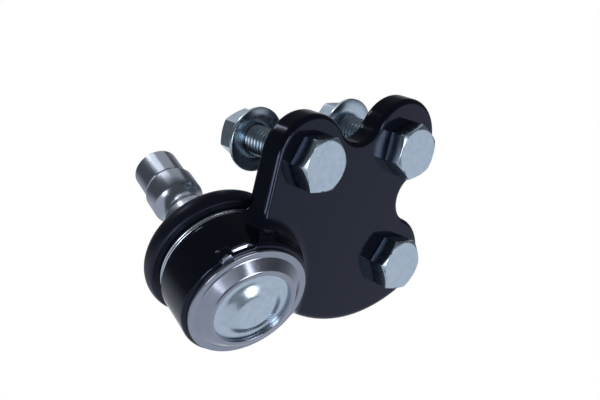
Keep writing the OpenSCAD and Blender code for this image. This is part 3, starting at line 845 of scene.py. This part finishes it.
# Drawn spring wire: the eye sees a bright thin line, a little uneven from the die
wireFinish = {"dull": "#c4ced6", "bright": "#dfe6ec", "streak": 1.2, "gloss": (0.19, 0.29)}
wireBright, tree, shader, place = startMaterial("drawn_spring_wire")
shader.inputs["Metallic"].default_value = 1.0
streak = add(tree, "ShaderNodeTexNoise", values={"Scale": 1000 / wireFinish["streak"], "Detail": 3.0},
             links=[("Vector", place, "Object")])
smoothest, roughest = wireFinish["gloss"]
gloss = add(tree, "ShaderNodeMapRange", links=[("Value", streak, "Fac")], values={
    "From Min": noiseLow, "From Max": noiseHigh, "To Min": smoothest, "To Max": roughest})
tone = add(tree, "ShaderNodeMix", {"data_type": "RGBA"},
           {6: linear(wireFinish["dull"]), 7: linear(wireFinish["bright"])}, [(0, streak, "Fac")])
tree.links.new(tone.outputs[2], shader.inputs["Base Color"])
tree.links.new(gloss.outputs[0], shader.inputs["Roughness"])

# Moulded rubber: the eye sees a soft dark satin with a dusty bloom
rubberFinish = {"dark": "#0d0f16", "dusty": "#151720", "tint": "#ccd5ff", "bloom": 5.0,
                "gloss": (0.34, 0.44), "grain": 0.5, "grainHeight": 0.004}
rubberMoulded, tree, shader, place = startMaterial("moulded_boot_rubber")
shader.inputs["Specular Tint"].default_value = linear(rubberFinish["tint"])
bloom = add(tree, "ShaderNodeTexNoise", values={"Scale": 1000 / rubberFinish["bloom"], "Detail": 4.0},
            links=[("Vector", place, "Object")])
tone = add(tree, "ShaderNodeMix", {"data_type": "RGBA"},
           {6: linear(rubberFinish["dark"]), 7: linear(rubberFinish["dusty"])}, [(0, bloom, "Fac")])
smoothest, roughest = rubberFinish["gloss"]
gloss = add(tree, "ShaderNodeMapRange", links=[("Value", bloom, "Fac")], values={
    "From Min": noiseLow, "From Max": noiseHigh, "To Min": smoothest, "To Max": roughest})
grain = add(tree, "ShaderNodeTexNoise", values={"Scale": 1000 / rubberFinish["grain"], "Detail": 3.0},
            links=[("Vector", place, "Object")])
bump = add(tree, "ShaderNodeBump", values={"Distance": rubberFinish["grainHeight"] * mm},
           links=[("Height", grain, "Fac")])
tree.links.new(tone.outputs[2], shader.inputs["Base Color"])
tree.links.new(gloss.outputs[0], shader.inputs["Roughness"])
tree.links.new(bump.outputs["Normal"], shader.inputs["Normal"])

# Acetal, moulded for the ball seat: the eye sees a waxy off-white with a fine mould grain, if at all
plasticFinish = {"pale": "#e4e0d2", "warm": "#d9d3c2", "flow": 3.0, "grain": 0.4, "grainHeight": 0.002}
plasticMoulded, tree, shader, place = startMaterial("moulded_seat_plastic")
shader.inputs["Roughness"].default_value = 0.45
flow = add(tree, "ShaderNodeTexNoise", values={"Scale": 1000 / plasticFinish["flow"], "Detail": 2.0},
           links=[("Vector", place, "Object")])
tone = add(tree, "ShaderNodeMix", {"data_type": "RGBA"},
           {6: linear(plasticFinish["pale"]), 7: linear(plasticFinish["warm"])}, [(0, flow, "Fac")])
grain = add(tree, "ShaderNodeTexNoise", values={"Scale": 1000 / plasticFinish["grain"], "Detail": 2.0},
            links=[("Vector", place, "Object")])
bump = add(tree, "ShaderNodeBump", values={"Distance": plasticFinish["grainHeight"] * mm},
           links=[("Height", grain, "Fac")])
tree.links.new(tone.outputs[2], shader.inputs["Base Color"])
tree.links.new(bump.outputs["Normal"], shader.inputs["Normal"])

# Pale floor of pulp paper: the eye sees a plain sheet with a faint cloud of fibres
paperFinish = {"pale": "#e9eaec", "grey": "#e2e3e7", "cloud": 12.0}
paperFloor, tree, shader, place = startMaterial("pale_studio_paper")
shader.inputs["Roughness"].default_value = 0.9
cloud = add(tree, "ShaderNodeTexNoise", values={"Scale": 1000 / paperFinish["cloud"], "Detail": 4.0},
            links=[("Vector", place, "Object")])
tone = add(tree, "ShaderNodeMix", {"data_type": "RGBA"},
           {6: linear(paperFinish["pale"]), 7: linear(paperFinish["grey"])}, [(0, cloud, "Fac")])
tree.links.new(tone.outputs[2], shader.inputs["Base Color"])


def dress(material, *pieces):
    for piece in pieces:
        piece.data.materials.clear()
        piece.data.materials.append(material)


dress(paintBlack, bracketPiece, nodes["bracket"])
dress(steelTurned, socketPiece, nodes["socket_housing"])
dress(zincPlate, capPiece, *boltPieces, *nutPieces, nodes["end_cap"])
dress(zincPlate, *[nodes["%s_%d" % (kind, i)] for kind in ("bolt", "nut") for i in (1, 2, 3)])
dress(steelGround, studPiece, nodes["ball_stud"])
dress(wireBright, clampPiece, neckPiece, nodes["boot_clamp_ring"], nodes["boot_neck_ring"])
dress(rubberMoulded, bootPiece, nodes["dust_boot"])
dress(plasticMoulded, nodes["ball_seat"])
print("stage: materials")

# Camera: below the part, looking up at the cap and the bolt heads
viewAhead = Vector((-0.20091, 0.73020, 0.65303)).normalized()
viewUp = Vector((0.74290, -0.32096, 0.58744))
viewUp = (viewUp - viewAhead * viewUp.dot(viewAhead)).normalized()
viewRight = viewAhead.cross(viewUp)
cameraAt = Vector((102.7, -250.3, -261.2)) * mm
cameraData = bpy.data.cameras.new("camera")
cameraData.lens = 66.0
cameraData.sensor_width = 36.0
cameraData.clip_start = 0.01
cameraData.clip_end = 20.0
camera = bpy.data.objects.new("camera", cameraData)
bpy.context.collection.objects.link(camera)
camera.matrix_world = Matrix((
    (viewRight.x, viewUp.x, -viewAhead.x, cameraAt.x),
    (viewRight.y, viewUp.y, -viewAhead.y, cameraAt.y),
    (viewRight.z, viewUp.z, -viewAhead.z, cameraAt.z),
    (0, 0, 0, 1)))
bpy.context.scene.camera = camera

# Floor: a round sheet of paper well below the held part, in metres
floorLook = {"drop": 1.4, "radius": 0.7, "sides": 96}
look = floorLook
rim = [2 * math.pi * k / look["sides"] for k in range(look["sides"])]
floorVerts = [(look["radius"] * math.cos(a), look["radius"] * math.sin(a), -look["drop"]) for a in rim]
floor = meshObject("floor", floorVerts, [tuple(range(len(rim)))])
dress(paperFloor, floor)

# Soft boxes, seen from the part: degrees right of the camera's side and above it, then metres
partMiddle = Vector((20, 15, -25)) * mm
lampColor = "#f6f9ff"
lightLook = {
    "right": {"turn": 43, "lift": -13, "away": 0.95, "size": (0.36, 0.46), "bright": 4.2},
    "left": {"turn": -15, "lift": -12, "away": 0.95, "size": (0.26, 0.50), "bright": 4.4},
    "crown": {"turn": -97, "lift": 66, "away": 0.90, "size": (0.32, 0.18), "bright": 1.4},
    "sky": {"turn": -140, "lift": 58, "away": 0.90, "size": (1.10, 1.10), "bright": 0.42},
    "edge": {"turn": -106, "lift": 52, "away": 0.90, "size": (0.14, 0.14), "bright": 6.0},
}
# Light linking keeps two lamps off the paint and the rubber, as a black card would, for these are deep black
# from above
flagged = ("crown", "sky")
shaded = bpy.data.collections.new("behind_the_card")
for entry, piece in enumerate((bracketPiece, bootPiece)):
    shaded.objects.link(piece)
    shaded.collection_objects[entry].light_linking.link_state = "EXCLUDE"
for name, look in lightLook.items():
    data = bpy.data.lights.new("light_" + name, "AREA")
    data.shape = "RECTANGLE"
    data.size, data.size_y = look["size"]
    # an area lamp of this power looks this bright
    data.energy = look["bright"] * math.pi * data.size * data.size_y
    data.color = linear(lampColor)[:3]
    lamp = bpy.data.objects.new("light_" + name, data)
    bpy.context.collection.objects.link(lamp)
    turn, lift = math.radians(look["turn"]), math.radians(look["lift"])
    level = viewRight * math.sin(turn) - viewAhead * math.cos(turn)
    aim = level * math.cos(lift) + viewUp * math.sin(lift)
    lamp.location = partMiddle + aim * look["away"]
    lamp.rotation_mode = "QUATERNION"
    lamp.rotation_quaternion = (-aim).to_track_quat("-Z", "Y")
    if name in flagged:
        lamp.light_linking.receiver_collection = shaded

# World: white to the camera; the part sees a pale table below, a dim room above and a backdrop behind
worldLook = {"table": 0.70, "tableSpan": (-0.06, 0.24), "leftShare": 0.85, "sideSpan": (-0.8, 0.6),
             "room": 0.11, "backdrop": 0.50, "backdropSpan": (0.40, 0.97), "backdropAt": (0.97, 0.22),
             "whiteSpan": (0.90, 1.0), "color": "#eef3ff"}  # the spans are cosines
ahead, below = worldLook["backdropAt"]
backdropAxis = (viewAhead * ahead - viewUp * below).normalized()
world = bpy.data.worlds.new("studio")
bpy.context.scene.world = world
world.use_nodes = True
tree = world.node_tree
tree.nodes.clear()
place = add(tree, "ShaderNodeTexCoord")
down, across, behind = [
    add(tree, "ShaderNodeVectorMath", {"operation": "DOT_PRODUCT"}, {1: tuple(axis)},
        [(0, place, "Generated")]) for axis in (-viewUp, viewRight, backdropAxis)]
spanLow, spanHigh = worldLook["tableSpan"]
overRoom = worldLook["table"] - worldLook["room"]
table = add(tree, "ShaderNodeMapRange", {"interpolation_type": "SMOOTHSTEP"}, {
    "From Min": spanLow, "From Max": spanHigh, "To Min": 0.0, "To Max": overRoom}, [("Value", down, "Value")])
spanLow, spanHigh = worldLook["sideSpan"]  # the table is brighter to the right
side = add(tree, "ShaderNodeMapRange", links=[("Value", across, "Value")], values={
    "From Min": spanLow, "From Max": spanHigh, "To Min": worldLook["leftShare"], "To Max": 1.0})
lit = add(tree, "ShaderNodeMath", {"operation": "MULTIPLY_ADD"}, {2: worldLook["room"]},
          [(0, table, 0), (1, side, 0)])
spanLow, spanHigh = worldLook["backdropSpan"]
backdrop = add(tree, "ShaderNodeMapRange", {"interpolation_type": "SMOOTHSTEP"}, {
    "From Min": spanLow, "From Max": spanHigh, "To Min": 0.0, "To Max": worldLook["backdrop"]},
    [("Value", behind, "Value")])
room = add(tree, "ShaderNodeMath", {"operation": "MAXIMUM"}, links=[(0, lit, 0), (1, backdrop, 0)])

# The white behind the part is also seen by rays that metal or a clear piece sends on to it
path = add(tree, "ShaderNodeLightPath")
spanLow, spanHigh = worldLook["whiteSpan"]
straight = add(tree, "ShaderNodeMapRange", {"interpolation_type": "SMOOTHSTEP"},
               {"From Min": spanLow, "From Max": spanHigh}, [("Value", behind, "Value")])
bounced = add(tree, "ShaderNodeMath", {"operation": "ADD"},
              links=[(0, path, "Is Glossy Ray"), (1, path, "Is Transmission Ray")])
mirrored = add(tree, "ShaderNodeMath", {"operation": "MULTIPLY"}, links=[(0, bounced, 0), (1, straight, 0)])
white = add(tree, "ShaderNodeMath", {"operation": "MAXIMUM"},
            links=[(0, path, "Is Camera Ray"), (1, mirrored, 0)])
strength = add(tree, "ShaderNodeMix", {"data_type": "FLOAT"}, {3: 1.0}, [(0, white, 0), (2, room, 0)])
tint = add(tree, "ShaderNodeMix", {"data_type": "RGBA"},
           {6: linear(worldLook["color"]), 7: (1, 1, 1, 1)}, [(0, white, 0)])
background = add(tree, "ShaderNodeBackground", links=[("Color", tint, 2), ("Strength", strength, 0)])
add(tree, "ShaderNodeOutputWorld", links=[("Surface", background, 0)])

bpy.context.scene.view_settings.view_transform = "Standard"
print("stage: camera, floor and light")
